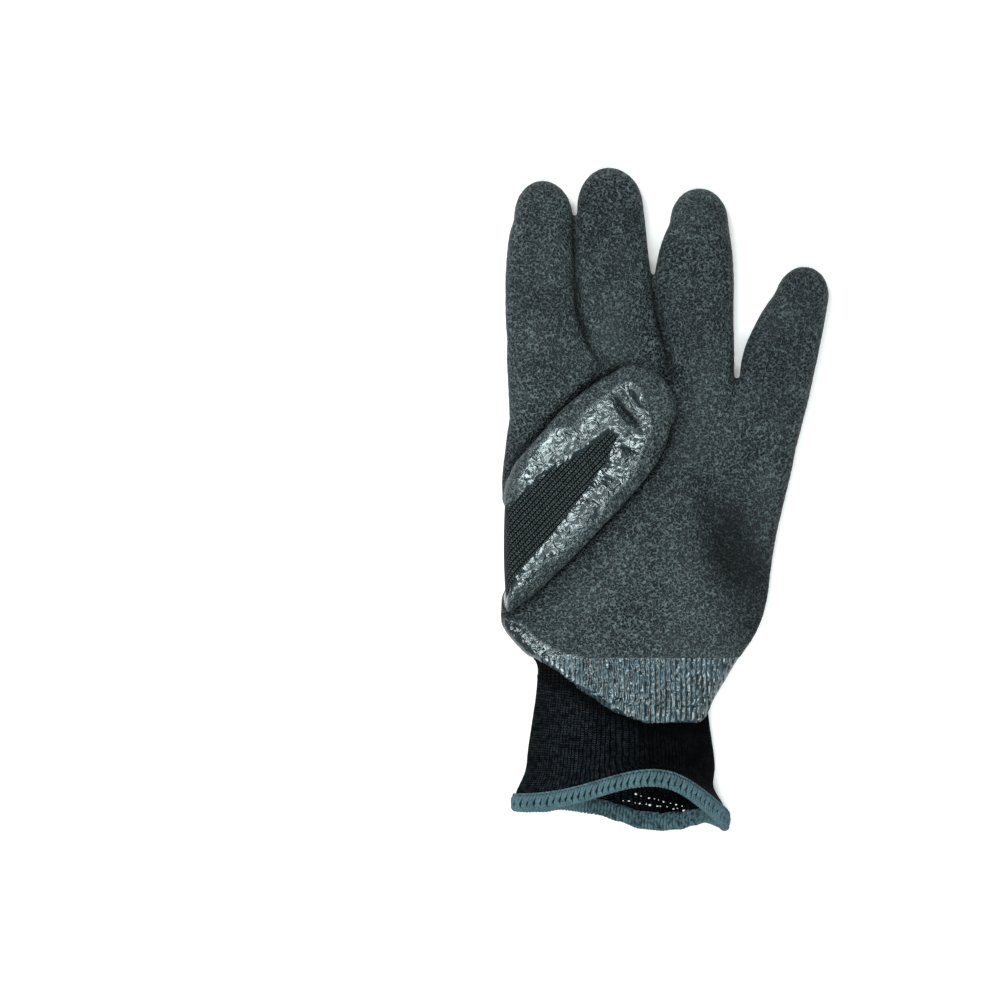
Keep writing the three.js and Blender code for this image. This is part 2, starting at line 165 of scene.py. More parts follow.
def outlineDistance(spots, outline):
    # distance to a closed outline seen from above, less than 0 inside it
    a = np.array(outline, float)
    b = np.roll(a, -1, axis=0)
    best = np.full(len(spots), 1e9)
    inside = np.zeros(len(spots), bool)
    x, y = spots[:, 0], spots[:, 1]
    for (ax, ay), (bx, by) in zip(a, b):
        dx, dy = bx - ax, by - ay
        t = np.clip(((x - ax) * dx + (y - ay) * dy) / max(dx * dx + dy * dy, 1e-9), 0, 1)
        best = np.minimum(best, np.hypot(x - ax - t * dx, y - ay - t * dy))
        crosses = (ay > y) != (by > y)
        with np.errstate(divide="ignore", invalid="ignore"):
            at = dx * (y - ay) / (by - ay) + ax
        inside ^= crosses & (x < at)
    return np.where(inside, -best, best)


def lineDistance(spots, line):
    # distance to an open line and how far along it, 0 to 1
    best = np.full(len(spots), 1e9)
    place = np.zeros(len(spots))
    x, y = spots[:, 0], spots[:, 1]
    count = len(line) - 1
    for k in range(count):
        (ax, ay), (bx, by) = line[k], line[k + 1]
        dx, dy = bx - ax, by - ay
        t = np.clip(((x - ax) * dx + (y - ay) * dy) / (dx * dx + dy * dy), 0, 1)
        far = np.hypot(x - ax - t * dx, y - ay - t * dy)
        closer = far < best
        best = np.where(closer, far, best)
        place = np.where(closer, (k + t) / count, place)
    return best, place


def endsFade(place, margin, power):
    return np.sin(np.clip(place, margin, 1 - margin) * np.pi) ** power


def softMin(a, b, width):
    h = np.clip(0.5 + 0.5 * (b - a) / width, 0, 1)
    return mix(b, a, h) - width * h * (1 - h)


# the form that all layers share

form = {
    "shift": (-10.52, -73.71), "squareness": 2.35, "linerInset": 1.2, "pressed": 2.0,
    "palmWidth": 100.0, "palmLength": 120.0, "palmThickness": 13.7, "palmCap": 4.4,
    "cuffWidth": 70.0, "cuffLength": 49.0, "cuffThickness": 10.5,
    "mouthArch": 17.0, "mouthRetreat": 16.5, "mouthPeak": 0.36, "archLeft": 0.82, "archRight": 0.7,
    "thumbLength": 85.0, "thumbWidth": 39.0, "thumbThickness": 13.0, "thumbCap": 10.0,
    "thumbClearance": 1.0, "thumbAngle": 43.0, "thumbSquareness": 3.0,
    "foldAlong": 0.468, "foldRound": 3.0, "fingerStand": 0.9,
}
fingers = {
    "index": {
        "length": 92.6, "width": 26.6, "thick": 13.8, "cap": 14, "lift": 1.2,
        "across": -0.285, "along": 0.831, "lean": -2.5,
        "rows": [(0, 1.39, 0), (0.25, 1.34, -0.03), (0.36, 1.16, -0.11), (0.48, 1.04, -0.17),
                 (0.6, 1, -0.17), (0.76, 0.93, -0.14), (0.85, 0.82, -0.1)],
    },
    "middle": {
        "length": 97.2, "width": 26.6, "thick": 13.8, "cap": 14.8, "lift": 1.2,
        "across": -0.026, "along": 0.831, "lean": -4.1,
        "rows": [(0, 1.08, 0.08), (0.27, 0.96, 0.14), (0.36, 1.08, 0.03), (0.44, 1.12, -0.045),
                 (0.55, 1.05, -0.07), (0.76, 0.97, -0.06), (0.85, 0.92, -0.05)],
    },
    "ring": {
        "length": 89.2, "width": 28, "thick": 13.8, "cap": 12.4, "lift": 1.2,
        "across": 0.248, "along": 0.831, "lean": -0.5,
        "rows": [(0, 0.87, 0), (0.27, 0.85, -0.01), (0.4, 0.9, -0.04), (0.54, 1.01, -0.09),
                 (0.62, 1.05, -0.11), (0.71, 1, -0.1), (0.79, 0.91, -0.08), (0.865, 0.77, -0.04)],
    },
    "little": {
        "length": 71, "width": 27.4, "thick": 12.6, "cap": 12.6, "lift": 2,
        "across": 0.444, "along": 0.769, "lean": 16.4,
        "rows": [(0, 1.03, 0), (0.29, 1, -0.01), (0.47, 1, -0.05), (0.59, 0.95, -0.05),
                 (0.71, 0.87, -0.035), (0.82, 0.74, 0)],
    },
}
# left across, left along, right across, right along, high
handRows = [
    (-0.381, 0.062, 0.278, -0.025, 1.03), (-0.385, 0.117, 0.326, 0.05, 1.04),
    (-0.448, 0.172, 0.385, 0.132, 1.02), (-0.5, 0.234, 0.444, 0.209, 1),
    (-0.5, 0.314, 0.481, 0.302, 1), (-0.5, 0.431, 0.504, 0.425, 1),
    (-0.5, 0.554, 0.53, 0.548, 1), (-0.5, 0.677, 0.563, 0.662, 1),
    (-0.489, 0.769, 0.585, 0.745, 1.02), (-0.474, 0.862, 0.6, 0.831, 1),
    (-0.448, 0.985, 0.593, 0.905, 0.9),
]
# left across, left along, right across, right along, high, arch, back
cuffRows = [
    (-0.555, 0, 0.402, -0.166, 1.2, 0.04, 0), (-0.592, -0.359, 0.433, -0.489, 0.95, 0.42, 0.2),
    (-0.608, -0.54, 0.428, -0.69, 0.9, 0.8, 0.56), (-0.665, -0.8, 0.49, -0.967, 0.85, 1, 1),
]
# left along, left side, right along, right side, rooted
thumbRows = [
    (0.247, -0.411, -0.183, 0.463, 1), (0.281, -0.442, -0.045, 0.52, 0.7),
    (0.321, -0.459, 0.148, 0.541, 0.3), (0.414, -0.464, 0.373, 0.551, 0),
    (0.574, -0.48, 0.546, 0.551, 0), (0.71, -0.456, 0.691, 0.53, 0),
    (0.81, -0.414, 0.802, 0.471, 0), (0.896, -0.355, 0.89, 0.371, 0),
]


def handPoint(across, along):
    return np.array([across * form["palmWidth"] + form["shift"][0],
                     along * form["palmLength"] + form["shift"][1]])


def cuffPoint(across, along):
    return np.array([across * form["cuffWidth"] + form["shift"][0],
                     along * form["cuffLength"] + form["shift"][1]])


thumbTurn = math.radians(form["thumbAngle"])
thumbAhead = np.array([math.sin(thumbTurn), math.cos(thumbTurn)])
thumbAside = np.array([thumbAhead[1], -thumbAhead[0]])
foldMiddle = handPoint(-0.5, form["foldAlong"])
thumbUnder = form["palmThickness"] - form["linerInset"] + form["thumbClearance"]
thumbTop = thumbUnder + form["thumbThickness"]


def thumbPoint(along, side):
    return (foldMiddle + thumbAhead * along * form["thumbLength"]
            + thumbAside * side * form["thumbWidth"])


def sectionRow(left, right, low, high, arch=0.0, back=0.0):
    return [left[0], left[1], right[0], right[1], low, high, arch, back]


def sleeveSections(rows, place, thickness):
    out = []
    for leftAcross, leftAlong, rightAcross, rightAlong, high, *mouth in rows:
        out.append(sectionRow(place(leftAcross, leftAlong), place(rightAcross, rightAlong),
                              -form["pressed"], high * thickness - form["linerInset"], *mouth))
    return out


def handSections():
    return sleeveSections(handRows, handPoint, form["palmThickness"])


def cuffSections():
    return sleeveSections(cuffRows, cuffPoint, form["cuffThickness"])


def fingerFrame(name):
    finger = fingers[name]
    lean = math.radians(finger["lean"])
    ahead = np.array([math.sin(lean), math.cos(lean)])
    return handPoint(finger["across"], finger["along"]), ahead, np.array([ahead[1], -ahead[0]])


def fingerSections(name):
    finger = fingers[name]
    root, ahead, aside = fingerFrame(name)
    rows = []
    for along, wide, drift in finger["rows"]:
        centre = root + ahead * along * finger["length"] + aside * drift * finger["width"]
        half = aside * wide * finger["width"] / 2
        low = form["fingerStand"] - form["linerInset"] + finger["lift"] * along * along
        thick = finger["thick"] * mix(0.86, 1, min(1, along / 0.33))
        rows.append(sectionRow(centre - half, centre + half, low, low + thick))
    return rows


def thumbSections():
    return [sectionRow(thumbPoint(row[0], row[1]), thumbPoint(row[2], row[3]),
                       mix(thumbUnder, form["fingerStand"], row[4]), thumbTop) for row in thumbRows]


def rowFrame(left, right):
    # middle and half width of a section, and the ways across and along the glove there
    half = np.linalg.norm(right - left) / 2
    across = (right - left) / (2 * half)
    return (left + right) / 2, half, across, np.array([-across[1], across[0]])


def ringPoints(row, sides, grow, squareness=form["squareness"]):
    centre, half, across, ahead = rowFrame(row[0:2], row[2:4])
    angle = 2 * np.pi * np.arange(sides) / sides
    power = 2 / squareness
    u = np.sign(np.cos(angle)) * np.abs(np.cos(angle)) ** power
    v = np.sign(np.sin(angle)) * np.abs(np.sin(angle)) ** power
    spread = np.where(u < form["mouthPeak"], form["archLeft"], form["archRight"])
    bump = np.maximum(v, 0) * np.exp(-((u - form["mouthPeak"]) / spread) ** 2)
    reach = (half + grow) * u
    lean = bump * row[7] * form["mouthRetreat"]
    spot = centre + np.outer(reach, across) + np.outer(lean, ahead)
    z = (row[4] + row[5]) / 2 + ((row[5] - row[4]) / 2 + grow) * v
    z += bump * row[6] * form["mouthArch"]
    return np.column_stack([spot, np.maximum(z, -form["linerInset"] - grow)])


def domeRows(row, cap, grow, way, count=7):
    # sections that close a tube with a round end
    base, half, across, ahead = rowFrame(row[0:2], row[2:4])
    out = []
    for k in range(1, count + 1):
        angle = math.pi / 2 * k / (count + 0.35)
        shrink = math.cos(angle)
        centre = base + ahead * way * (cap + grow) * math.sin(angle)
        newHalf = (half + grow) * shrink - grow
        middle, tall = (row[4] + row[5]) / 2, ((row[5] - row[4]) / 2 + grow) * shrink - grow
        out.append(sectionRow(centre - across * newHalf, centre + across * newHalf,
                              middle - tall, middle + tall, row[6], row[7]))
    return out


def limbTube(name, sections, sides, grow, startCap=0.0, endCap=0.0, steps=3,
             squareness=form["squareness"]):
    rows = list(smoothRows(sections, steps))
    start = domeRows(rows[0], startCap, grow, -1)[::-1] if startCap else []
    end = domeRows(rows[-1], endCap, grow, 1) if endCap else []
    allRows = [np.array(row) for row in start + rows + end]
    return tubeThrough(name, [ringPoints(row, sides, grow, squareness) for row in allRows])


# layers of the glove: moved out from the shared form by grow, joined with voxels of that size,
# and reaching that many rows into the cuff
layers = {
    "latexSkin": {"grow": 0.0, "voxel": 0.72, "cuffRows": 3},
    "knitOuter": {"grow": -1.1, "voxel": 1.15, "cuffRows": 1},
    "knitInner": {"grow": -2.6, "voxel": 2.0, "cuffRows": 1},
}


def handForm(name):
    # the whole hand as one smooth skin
    layer = layers[name]
    grow = layer["grow"]
    sleeve = cuffSections()[:layer["cuffRows"]][::-1] + handSections()
    limbs = [limbTube("palmForm", sleeve, 64, grow, endCap=form["palmCap"])]
    for finger in fingers:
        limbs.append(limbTube(finger + "Form", fingerSections(finger), 36, grow,
                              endCap=fingers[finger]["cap"]))
    limbs.append(limbTube("thumbForm", thumbSections(), 40, grow, form["foldRound"],
                          form["thumbCap"], squareness=form["thumbSquareness"]))
    hand = joinPieces(name, limbs)
    applyModifier(hand, "REMESH", mode="VOXEL", voxel_size=layer["voxel"] * mm)
    applyModifier(hand, "SMOOTH", factor=0.5, iterations=4)
    return hand


# where the latex ends

dip = {
    # across, along: the edge of the latex at the wrist
    "wristEdge": [(-0.62, 0.12), (-0.385, 0.117), (-0.3, 0.083), (-0.196, 0.022), (-0.09, -0.037),
                  (0.03, -0.07), (0.24, -0.074), (0.29, -0.04), (0.62, 0.03)],
    # along, left, right: the bare wedge on the thumb
    "wedge": [(-0.25, -0.3, 0.36), (-0.03, -0.28, 0.273), (0.13, -0.245, 0.258),
              (0.29, -0.2, 0.237), (0.37, -0.18, 0.215), (0.49, -0.09, 0.185),
              (0.6, -0.045, 0.14), (0.69, 0, 0.08)],
    "backShare": 0.82, "backReach": 0.68, "backTaper": 0.5, "backHeight": 5.5,
    "foldHalf": 15.6, "foldEdge": 0.49, "waver": 0.35,
}


def rowShares(rows, shares):
    left, right = [], []
    for row, share in zip(rows, shares):
        centre, half = (row[0:2] + row[2:4]) / 2, (row[2:4] - row[0:2]) / 2
        left.append(centre - half * share)
        right.append(centre + half * share)
    return right + left[::-1]


def bareDistance(points):
    # how far a point on the glove is from the bare knit, less than 0 on it, in millimetres
    spots, z = points[:, :2], points[:, 2]
    sleeve = np.array(cuffSections()[:3][::-1] + handSections())
    beyond = sleeve[-1].copy()
    beyond[[1, 3]] += 2 * form["palmCap"]
    sleeve = np.vstack([sleeve, beyond])
    back = outlineDistance(spots, rowShares(sleeve, [dip["backShare"]] * len(sleeve)))
    for name, finger in fingers.items():
        rows = smoothRows(fingerSections(name), 4)
        alongs = smoothRows([[row[0]] for row in finger["rows"]], 4)[:, 0]
        t = alongs[alongs <= dip["backReach"]] / dip["backReach"]
        shares = dip["backShare"] * mix(1, dip["backTaper"], t ** 2) * np.sqrt(1.02 - t ** 6)
        strip = outlineDistance(spots, rowShares(rows[:len(t)], shares))
        back = softMin(back, strip, 2.5)
    back = np.maximum(back, z - dip["backHeight"])
    wedgeLine = ([thumbPoint(row[0], row[2]) for row in dip["wedge"]]
                 + [thumbPoint(row[0], row[1]) for row in dip["wedge"]][::-1])
    wedge = np.maximum(outlineDistance(spots, wedgeLine), (thumbUnder + thumbTop) / 2 - z)
    foldY = foldMiddle[1]
    edgeX = -dip["foldEdge"] * form["palmWidth"] + form["shift"][0]
    fold = np.maximum(spots[:, 0] - edgeX, np.abs(spots[:, 1] - foldY) - dip["foldHalf"])
    edge = [handPoint(*row) for row in dip["wristEdge"]]
    wrist = outlineDistance(spots, edge + [handPoint(0.9, -0.6), handPoint(-0.9, -0.6)])
    bare = softMin(softMin(back, fold, 2.0), wedge, 1.5)
    return np.minimum(bare, wrist), wrist, outlineDistance(spots, wedgeLine)


# dents, creases and the slack of the real glove, pressed into every layer alike

slack = {
    # across, along, reach, depth in millimetres: hollows in the palm
    "hollows": [(-0.16, 0.5, 34, 0.8), (0.3, 0.66, 13, 1.2), (0.44, 0.2, 10, 1.2),
                (0.1, 0.2, 16, -0.5), (0.2, 0.47, 12, -0.8)],
    # the soft trough down the palm, below the little finger
    "crevice": 1.6,
    "trough": {"line": [(11, 8), (20, -12), (28, -28), (32, -44)], "wide": 9, "deep": 2.6},
    "betweenFingers": [
        [(-34, 105.4), (-32.5, 71.3), (-29, 59.5), (-24.2, 50.6)],
        [(-4.7, 84.7), (-3.5, 71.3), (1, 53.6), (3.2, 44.7)],
    ],
    # lines in millimetres, how wide and deep, and the height above which they are pressed
    "creases": [
        {"line": [(-19.4, 39.6), (-17, 34.9), (-14.7, 31.7), (-12, 29), (-9.8, 27)],
         "wide": 1.5, "deep": 1.5, "above": 16},
        {"line": [(-34.5, 25.5), (-31, 29), (-27.5, 33.5)], "wide": 2.4, "deep": 0.8, "above": 17},
        {"line": [(-19.5, 21.5), (-15, 20), (-10.5, 18)], "wide": 1.7, "deep": 1, "above": 17},
        {"line": [(-26, 9), (-22, 9.5), (-18, 7.5)], "wide": 1.7, "deep": 0.7, "above": 17},
        {"line": [(-17, 42), (-13.8, 37.3), (-11, 33.5), (-8, 30.5)],
         "wide": 1.7, "deep": -0.9, "above": 17},
        {"line": [(-21.8, 36.8), (-17.8, 31.6), (-13.6, 27)],
         "wide": 1.1, "deep": -0.5, "above": 17},
    ],
}


def pressSlack(points):
    spots, z = points[:, :2], points[:, 2]
    up = smoothStep(3.0, 9.0, z)
    onPalm = 1 - smoothStep(14.2, 16.0, z)
    drop = np.zeros(len(points))
    for across, along, reach, depth in slack["hollows"]:
        far = np.linalg.norm(spots - handPoint(across, along), axis=1) / reach
        drop += depth * np.exp(-far * far) * up * onPalm
    far, place = lineDistance(spots, slack["trough"]["line"])
    trough = slack["trough"]["deep"] * np.exp(-(far / slack["trough"]["wide"]) ** 2)
    drop += trough * endsFade(place, 0.05, 0.7) * up * onPalm
    for crease in slack["creases"]:
        far, place = lineDistance(spots, crease["line"])
        cut = np.exp(-np.abs(far / crease["wide"]) ** 1.4) * endsFade(place, 0.04, 0.5)
        drop += crease["deep"] * cut * smoothStep(crease["above"], crease["above"] + 2, z)
    out = points.copy()
    out[:, 2] -= drop + slack["crevice"] * crevice(points) * (1 - onThumbTop(z))
    return out


def onThumbTop(z):
    return smoothStep(13.2, 15.5, z)


def crevice(points):
    # 1 in the fold between the palm and the thumb that lies on it, fading away from it
    rows = thumbSections()
    spots = points[:, :2]
    tip = [(0.955, -0.26), (0.99, -0.1), (1, 0.03), (0.985, 0.16), (0.945, 0.28)]
    outline = [row[0:2] for row in rows] + [thumbPoint(*spot) for spot in tip]
    outline += [row[2:4] for row in rows[::-1]]
    far = outlineDistance(spots, outline)
    fold = np.exp(-np.maximum(far, 0) ** 2 / 2.2)
    for line in slack["betweenFingers"]:
        far, place = lineDistance(spots, line)
        fold = np.maximum(fold, np.exp(-far ** 2 / 1.3) * endsFade(place, 0.02, 0.5))
    return fold * smoothStep(6.0, 10.0, points[:, 2])


print("forms")
latex = handForm("latexSkin")
latexPoints = readVerts(latex)
print("latex form", len(latexPoints))

# the edge of the dip sinks to the knit: how deep, and from where to where; then its unevenness
skin = {"sink": 1.55, "sinkFrom": -0.6, "sinkTo": 3.2, "crumple": 0.1, "slackWave": 0.35}


def shapeSkin(obj):
    points = readVerts(obj)
    bare, wrist, wedge = bareDistance(points)
    bare = bare + dip["waver"] * softNoise(points, 4.0, 1) + 0.2 * softNoise(points, 1.6, 2)
    pick(obj)
    bm = bmesh.new()
    bm.from_mesh(obj.data)
    bm.verts.ensure_lookup_table()
    gone = [bm.verts[k] for k in np.nonzero(bare < skin["sinkFrom"] - 0.9)[0]]
    bmesh.ops.delete(bm, geom=gone, context="VERTS")
    bm.to_mesh(obj.data)
    bm.free()
    keep = bare >= skin["sinkFrom"] - 0.9
    return bare[keep], wrist[keep], wedge[keep]


bare, wrist, wedge = shapeSkin(latex)
points = readVerts(latex)
normals = readNormals(latex)
shelf = np.clip((bare - skin["sinkFrom"]) / (skin["sinkTo"] - skin["sinkFrom"]), 0, 1)
sunk = skin["sink"] * (1 - shelf) ** 2
wave = skin["slackWave"] * (softNoise(points, 22.0, 3) + 0.5 * softNoise(points, 9.0, 4))
fine = skin["crumple"] * softNoise(points, 1.7, 5)
points = points + normals * ((wave * smoothStep(0, 4, bare) + fine - sunk)[:, None])
points = pressSlack(points)
points[:, 2] = np.maximum(points[:, 2], 0.05)
writeVerts(latex, points)


def writeAttribute(obj, name, values):
    layer = obj.data.attributes.new(name, "FLOAT", "POINT")
    layer.data.foreach_set("value", np.ascontiguousarray(values, dtype=np.float32))


# gloss where the dip ended: round the thumb's wedge, on its tip, and above the wrist edge
gloss = {
    # millimetres: the outer edge of the gloss on the thumb
    "thumbEdge": [(-58, -4), (-55.5, 3.5), (-52, 13), (-49.3, 20), (-43.5, 26), (-38, 28),
                  (-34, 27.5), (-28, 34.5), (-23.5, 38.8), (-18.6, 43), (-13, 44), (-8.5, 40.5),
                  (-6.5, 33.5), (-5.5, 26), (-6.5, 20.5), (-9.5, 16), (-13, 9), (-17.5, 3),
                  (-23.5, -4), (-31, -12), (-40, -20.5), (-49.5, -29), (-57.5, -36.5), (-63, -42)],
    "thumbSoft": 3.4,
    "wristLine": -57.8,
    "bandStep": 0.3,
    # the rolled corner, where the thumb's fold meets the wrist edge
    "cornerEdge": [(-60, -43), (-54, -45), (-47, -50), (-40, -54.5), (-30, -57.5), (-30, -66),
                   (-62, -60)],
}
onThumb = smoothStep(13.5, 16.5, points[:, 2])
patch = softNoise(points, 6.0, 6)
thumbEdge = outlineDistance(points[:, :2], gloss["thumbEdge"])
soft = gloss["thumbSoft"] / 2
shineThumb = smoothStep(soft, -soft, thumbEdge + 1.9 * patch) * onThumb
line = gloss["wristLine"] + 0.25 * softNoise(points, 3.0, 7)
band = smoothStep(line + 0.35, line - 0.35, points[:, 1]) * (1 - onThumb)
cornerEdge = outlineDistance(points[:, :2], gloss["cornerEdge"])
corner = smoothStep(1.5, -1.5, cornerEdge + 1.2 * patch) * (1 - onThumb)
creaseFar, creasePlace = lineDistance(points[:, :2], slack["creases"][0]["line"])
creaseEnds = endsFade(creasePlace, 0, 0.5) * onThumb
shineThumb *= 1 - np.exp(-(creaseFar / 1.5) ** 4) * creaseEnds
shine = np.clip(np.maximum(shineThumb, np.maximum(band, corner)), 0, 1)
writeAttribute(latex, "shine", shine)
points -= readNormals(latex) * (gloss["bandStep"] * band)[:, None]
writeVerts(latex, points)
writeAttribute(latex, "wristBand", band)
# painted shade: the folds between the palm and the thumb and between the fingers, and the thumb's
# crease, get a mask that darkens their colour and roughens them
creaseShade = 1.1 * np.exp(-(creaseFar / 1.3) ** 2) * creaseEnds
writeAttribute(latex, "crevice", np.maximum(crevice(points) * (1 - onThumb), creaseShade))


def latexToneAndShade(points):
    # how light the latex is drawn: painted shade darkest along the trough of the palm and on the
    # low sides near the table; also a little darker on the fingers, in a spot by the thumb's tip
    # and towards the lower right, with random patches
    spots = points[:, :2]
    far, place = lineDistance(spots, slack["trough"]["line"])
    tone = 1 - 0.75 * np.exp(-(far / 12.5) ** 2) * endsFade(place, 0.08, 0.7)
    tone -= 0.22 * np.exp(-(np.linalg.norm(spots - (9.0, 26.0), axis=1) / 12.0) ** 2)
    tone -= 0.2 * smoothStep(35.0, 60.0, points[:, 1])
    tone -= 0.18 * smoothStep(14.0, 30.0, points[:, 0]) * smoothStep(-60.0, -30.0, points[:, 1])
    tone *= mix(0.6, 1.0, smoothStep(5.0, 11.5, points[:, 2]))
    return np.clip(tone + 0.16 * softNoise(points, 14.0, 8), 0.2, 1.2)


writeAttribute(latex, "tone", latexToneAndShade(points))
print("latex skin shaped", len(latex.data.polygons))


# the knitted hand under it: an outer face, a hollow inside, open at the wrist

knit = handForm("knitOuter")
lining = handForm("knitInner")


def cutWrist(obj):
    left = handPoint(*handRows[0][0:2])
    across = rowFrame(left, handPoint(*handRows[0][2:4]))[2]
    openEdit(obj)
    bpy.ops.mesh.bisect(plane_co=(left[0] * mm, left[1] * mm, 0),
                        plane_no=(-across[1], across[0], 0), clear_inner=True)
    closeEdit()


for layer in (knit, lining):
    cutWrist(layer)
openEdit(lining)
bpy.ops.mesh.flip_normals()
closeEdit()
hand = joinPieces("handKnit", [knit, lining])
bridgeRims(hand)
closeEdit()
handPoints = pressSlack(readVerts(hand))
handPoints[:, 2] = np.maximum(handPoints[:, 2], 0.0)
writeVerts(hand, handPoints)


def wrapLength(side, half, height, tall):
    # length along the cloth from the middle of the back, round the edge and over the palm
    flat = np.maximum(np.abs(side) - (half - tall), 0)
    turn = np.where(flat > 0, np.arctan2(flat, -height), np.where(height < 0, 0, np.pi))
    run = np.minimum(np.abs(side), half - tall)
    far = run + tall * turn + np.maximum(flat - tall, 0)
    far = np.where(turn > np.pi * 0.999, (half - tall) * 2 - run + tall * np.pi, far)
    return np.sign(side) * far


def writeStitchMap(obj):
    # the map's u runs across the wales and its v along them, in millimetres
    pts = readVerts(obj)
    spots, z = pts[:, :2], pts[:, 2]
    tall = form["palmThickness"] / 2
    u = wrapLength(spots[:, 0] + 10.5, 47.0, z - tall, tall)
    v = spots[:, 1].copy()
    for name, finger in fingers.items():
        root, ahead, aside = fingerFrame(name)
        along = (spots - root) @ ahead
        side = (spots - root) @ aside + 0.1 * finger["width"]
        mine = (along > 0.3 * finger["length"]) & (np.abs(side) < 0.62 * finger["width"]) & (z < 15)
        fu = wrapLength(side, finger["width"] * 0.46, z - tall, tall)
        u = np.where(mine, fu + 40 * list(fingers).index(name), u)
        v = np.where(mine, along, v)
    # on the thumb the wales run along it, and on down over the fold at the hand's edge
    offset = spots - foldMiddle
    offset[:, 0] -= np.maximum(25.2 - z, 0) * (1 - smoothStep(2.0, 8.0, offset[:, 0]))
    nearFold = (spots[:, 0] < foldMiddle[0] + 4.5) & (np.abs(offset[:, 1]) < 22.0)
    mine = (z > 15.2) | (nearFold & (z > 1.0))
    u = np.where(mine, offset @ thumbAside, u)
    v = np.where(mine, offset @ thumbAhead, v)
    layer = obj.data.uv_layers.new(name="stitches")
    loops = np.empty(len(obj.data.loops), np.int64)
    obj.data.loops.foreach_get("vertex_index", loops)
    uv = np.column_stack([u, v])[loops]
    layer.data.foreach_set("uv", uv.ravel())


writeStitchMap(hand)
# near the wrist the hand's knit is as dark as the cuff's
writeAttribute(hand, "tone", mix(0.1, 1.0, smoothStep(-60.0, -44.0, handPoints[:, 1])))
print("hand knit shaped", len(hand.data.polygons))


# the elastic cuff, a wall with an outer and an inner face

cuff = {"outer": -1.25, "inner": -2.6, "sides": 150, "steps": 12, "seat": 4.5, "tuck": 2.0}


def mouthSection():
    # the open end of the cuff, flat on the table, and the way from it into the glove
    mouth = np.array(cuffSections()[3])
    mouth[4], mouth[5] = 0.1, 0.1 + cuffRows[3][4] * form["cuffThickness"]
    return mouth, rowFrame(mouth[0:2], mouth[2:4])[3]


def cuffRings(grow):
    sections = cuffSections()
    mouth, ahead = mouthSection()
    seat = mouth.copy()
    seat[:4] += np.tile(ahead, 2) * cuff["seat"]
    wristRow = np.array(handSections()[0])
    wristRow[5] -= 0.5
    top = np.array(handSections()[1])
    rows = [mouth, seat] + [np.array(s) for s in sections[:3][::-1]] + [wristRow]
    fineRows = list(smoothRows(rows, cuff["steps"]))
    last = fineRows[-1].copy()
    toward = (top - wristRow) / np.linalg.norm((top - wristRow)[0:2]) * cuff["tuck"]
    last[:4] += toward[:4]
    return [ringPoints(row, cuff["sides"], grow) for row in fineRows + [last]]


# the slack lower lip of the mouth: millimetres across and how far it is drawn along the glove
lip = {
    "line": [(-52, 0), (-46, 0.6), (-38, 2.2), (-25, 1.7), (-17, 0), (-9.4, -1.9), (-2, -1.9),
             (5.4, -0.7), (11, 1.4), (15, 3), (20, 2.2), (26, 0)],
    "reach": 20.0,
}


def sagLip(points):
    xs, shifts = np.array(lip["line"]).T
    t = np.interp(points[:, 0], xs, np.arange(len(xs)))
    k = np.clip(np.floor(t).astype(int), 0, len(xs) - 2)
    shift = mix(shifts[k], shifts[k + 1], smoothStep(0, 1, t - k))
    (leftX, leftY), (rightX, rightY) = cuffPoint(*cuffRows[3][0:2]), cuffPoint(*cuffRows[3][2:4])
    mouthY = leftY + (points[:, 0] - leftX) / (rightX - leftX) * (rightY - leftY)
    near = 1 - smoothStep(3.0, lip["reach"], points[:, 1] - mouthY)
    out = points.copy()
    out[:, 1] += shift * near * (1 - smoothStep(3.0, 6.0, points[:, 2]))
    return out


outerRings, innerRings = cuffRings(cuff["outer"]), cuffRings(cuff["inner"])
cuffPiece = tubeThrough("cuffKnit", outerRings + innerRings[::-1], closed=False)
bridgeRims(cuffPiece)
bpy.ops.mesh.select_all(action="SELECT")
bpy.ops.mesh.normals_make_consistent(inside=False)
closeEdit()
rowCount, sides = len(outerRings), cuff["sides"]


def ringLengths(rings):
    # length round each ring, and along the cuff
    rings = np.array(rings)
    steps = np.linalg.norm(np.roll(rings, -1, axis=1) - rings, axis=2)
    around = np.concatenate([np.zeros((len(rings), 1)), np.cumsum(steps, axis=1)], axis=1)
    rows = np.linalg.norm(np.diff(rings[:, sides * 3 // 4], axis=0), axis=1)
    return around, np.concatenate([[0], np.cumsum(rows)])


outerAround, outerDown = ringLengths(outerRings)
ribPitch = 1.3  # the wale of the cuff's knit
ribs = round(outerAround.max() / ribPitch)
layer = cuffPiece.data.uv_layers.new(name="stitches")
uvValues = np.zeros((len(cuffPiece.data.loops), 2))
for face in cuffPiece.data.polygons:
    ids = [cuffPiece.data.loops[k].vertex_index for k in face.loop_indices]
    columns = [k % sides for k in ids]
    wraps = max(columns) - min(columns) > sides // 2
    for loop, vertex, column in zip(face.loop_indices, ids, columns):
        row = vertex // sides
        row = row if row < rowCount else 2 * rowCount - 1 - row
        place = column + sides if wraps and column == 0 else column
        uvValues[loop] = (place / sides * ribs * ribPitch, outerDown[row])
layer.data.foreach_set("uv", uvValues.ravel())
cuffPoints = sagLip(readVerts(cuffPiece))
cuffPoints[:, 2] = np.maximum(cuffPoints[:, 2], 0.0)
writeVerts(cuffPiece, cuffPoints)


# the ends of the elastic thread that show pale inside the mouth: from, to and how many in a row
elastic = {
    "rows": [((-10.3, -109.2), (6.0, -113.4), 9), ((-15.4, -111.4), (9.2, -115.2), 13)],
    "radius": [0.2, 0.24, 0.3, 0.42],
}


